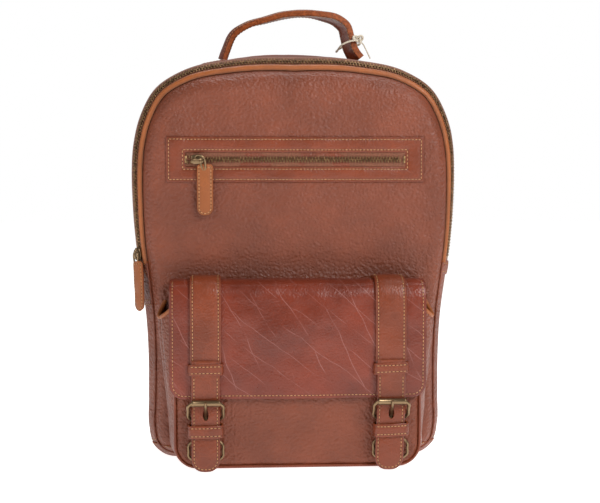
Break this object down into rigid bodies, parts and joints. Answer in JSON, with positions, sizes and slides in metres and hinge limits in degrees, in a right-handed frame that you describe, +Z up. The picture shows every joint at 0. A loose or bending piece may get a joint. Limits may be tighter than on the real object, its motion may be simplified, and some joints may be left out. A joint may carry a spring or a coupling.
{
  "type": "leather backpack",
  "caption": "Leather backpack with a zip main compartment, zip pocket, flap pocket held by two buckled straps, carry handle and two shoulder straps.",
  "frame": {"origin": "centre of the flat base, on the floor, half way through the depth of the main body without the pocket", "axes": "+Z up, -Y is the front with the flap pocket, +X to the right as seen from the front"},
  "size_m": [0.3312, 0.2528, 0.459],
  "materials": {
    "leather": "satin grained",
    "leather_flap": "satin, creased",
    "leather_trim": "satin",
    "leather_edge": "satin",
    "leather_pull": "satin",
    "lining": "matte",
    "padding": "matte",
    "zip_tape": "matte",
    "antique_brass": "aged satin",
    "zip_teeth": "aged satin",
    "board": "matte",
    "string": "matte"
  },
  "bodies": {
    "bag": {"side_band": "leather", "base_tray": "leather", "base_board": "board", "front_panel_lower": "leather", "panel_binding_lower": "leather", "back_panel": "leather", "back_pad": "padding", "lining": "lining", "laptop_sleeve": "lining", "pocket_front": "leather", "pocket_gusset": "leather", "pocket_binding": "leather_edge", "pocket_piping": "leather_edge", "ring_studs": "antique_brass", "main_zip_back_tape": "zip_tape", "main_zip_back_teeth": "zip_teeth", "zip_end_tabs": "leather_edge", "handle_feet": "leather_trim", "strap_top_anchors": "leather_trim", "strap_bottom_anchors": "leather_trim"},
    "panel": {"front_panel_upper": "leather", "panel_binding_upper": "leather_edge", "main_zip_front_tape": "zip_tape", "main_zip_front_teeth": "zip_teeth", "zip_frame": "leather_trim", "front_zip_tape": "zip_tape", "front_zip_teeth": "zip_teeth", "front_zip_pouch": "lining"},
    "flap": {"pocket_flap": "leather_flap", "flap_straps": "leather_trim", "billets": "leather_trim", "strap_bands": "leather_trim", "keepers": "leather_trim", "lower_tabs": "leather_trim", "buckle_frames": "antique_brass"},
    "front_slider_body": {"front_slider": "antique_brass"},
    "front_link": {"front_pull_link": "antique_brass"},
    "front_tab": {"front_pull_tab": "leather_pull"},
    "main_slider_body": {"main_slider": "antique_brass"},
    "main_link": {"main_pull_link": "antique_brass"},
    "main_tab": {"main_pull_tab": "leather_pull"},
    "prong_l": {"prong_left": "antique_brass"},
    "prong_r": {"prong_right": "antique_brass"},
    "roller_l": {"roller_left": "antique_brass"},
    "roller_r": {"roller_right": "antique_brass"},
    "ring_l": {"tab_ring_left": "antique_brass"},
    "ring_r": {"tab_ring_right": "antique_brass"},
    "carry_handle": {"handle": "leather_trim", "tag_loop": "string", "tag_knot": "string"},
    "strap_l": {"shoulder_pad_left": "leather_trim", "pad_ring_left": "antique_brass", "lower_strap_left": "leather_trim"},
    "strap_r": {"shoulder_pad_right": "leather_trim", "pad_ring_right": "antique_brass", "lower_strap_right": "leather_trim"},
    "adjuster_l": {"strap_adjuster_left": "antique_brass"},
    "adjuster_r": {"strap_adjuster_right": "antique_brass"}
  },
  "joints": [
    {"name": "main_opening", "type": "hinge", "parent": "bag", "child": "panel", "pos_m": [0, -0.072, 0.198], "axis": [1, 0, 0], "range_deg": [0, 40]},
    {"name": "flap_lift", "type": "hinge", "parent": "bag", "child": "flap", "pos_m": [0, -0.0745, 0.1885], "axis": [-1, 0, 0], "range_deg": [0, 50]},
    {"name": "front_zip_slide", "type": "slide", "parent": "panel", "child": "front_slider_body", "axis": [1, 0, 0], "range_m": [0, 0.2]},
    {"name": "front_link_swing", "type": "hinge", "parent": "front_slider_body", "child": "front_link", "pos_m": [-0.097, -0.07895, 0.302], "axis": [-1, 0, 0], "range_deg": [0, 60]},
    {"name": "front_tab_swing", "type": "hinge", "parent": "front_link", "child": "front_tab", "pos_m": [-0.097, -0.07895, 0.291], "axis": [-1, 0, 0], "range_deg": [0, 30]},
    {"name": "main_zip_slide", "type": "slide", "parent": "bag", "child": "main_slider_body", "axis": [-0.029, 0, 0.9996], "range_m": [0, 0.075]},
    {"name": "main_link_swing", "type": "hinge", "parent": "main_slider_body", "child": "main_link", "pos_m": [-0.16535, -0.046, 0.208], "axis": [0, 1, 0], "range_deg": [0, 60]},
    {"name": "main_tab_swing", "type": "hinge", "parent": "main_link", "child": "main_tab", "pos_m": [-0.16535, -0.046, 0.197], "axis": [0, 1, 0], "range_deg": [0, 60]},
    {"name": "prong_swing_l", "type": "hinge", "parent": "flap", "child": "prong_l", "pos_m": [-0.09, -0.1175, 0.05], "axis": [1, 0, 0], "range_deg": [0, 6]},
    {"name": "roller_spin_l", "type": "hinge", "parent": "flap", "child": "roller_l", "pos_m": [-0.09, -0.129, 0.068], "axis": [1, 0, 0], "continuous": true},
    {"name": "ring_swing_l", "type": "hinge", "parent": "flap", "child": "ring_l", "pos_m": [-0.09, -0.1175, 0.028], "axis": [-1, 0, 0], "range_deg": [-8, 8]},
    {"name": "prong_swing_r", "type": "hinge", "parent": "flap", "child": "prong_r", "pos_m": [0.09, -0.1175, 0.05], "axis": [1, 0, 0], "range_deg": [0, 6]},
    {"name": "roller_spin_r", "type": "hinge", "parent": "flap", "child": "roller_r", "pos_m": [0.09, -0.129, 0.068], "axis": [1, 0, 0], "continuous": true},
    {"name": "ring_swing_r", "type": "hinge", "parent": "flap", "child": "ring_r", "pos_m": [0.09, -0.1175, 0.028], "axis": [-1, 0, 0], "range_deg": [-8, 8]},
    {"name": "handle_tilt", "type": "hinge", "parent": "bag", "child": "carry_handle", "pos_m": [0, 0.035, 0.4155], "axis": [1, 0, 0], "range_deg": [-60, 60], "stiffness_Nm_per_rad": 0.12},
    {"name": "strap_swing_l", "type": "hinge", "parent": "bag", "child": "strap_l", "pos_m": [-0.115, 0.0695, 0.025], "axis": [0.1908, 0, 0.9816], "range_deg": [-12, 12], "stiffness_Nm_per_rad": 0.2},
    {"name": "strap_length_l", "type": "slide", "parent": "strap_l", "child": "adjuster_l", "axis": [-0.184, -0.265, -0.9465], "range_m": [0, 0.06]},
    {"name": "strap_swing_r", "type": "hinge", "parent": "bag", "child": "strap_r", "pos_m": [0.115, 0.0695, 0.025], "axis": [-0.1908, 0, 0.9816], "range_deg": [-12, 12], "stiffness_Nm_per_rad": 0.2},
    {"name": "strap_length_r", "type": "slide", "parent": "strap_r", "child": "adjuster_r", "axis": [0.184, -0.265, -0.9465], "range_m": [0, 0.06]}
  ]
}
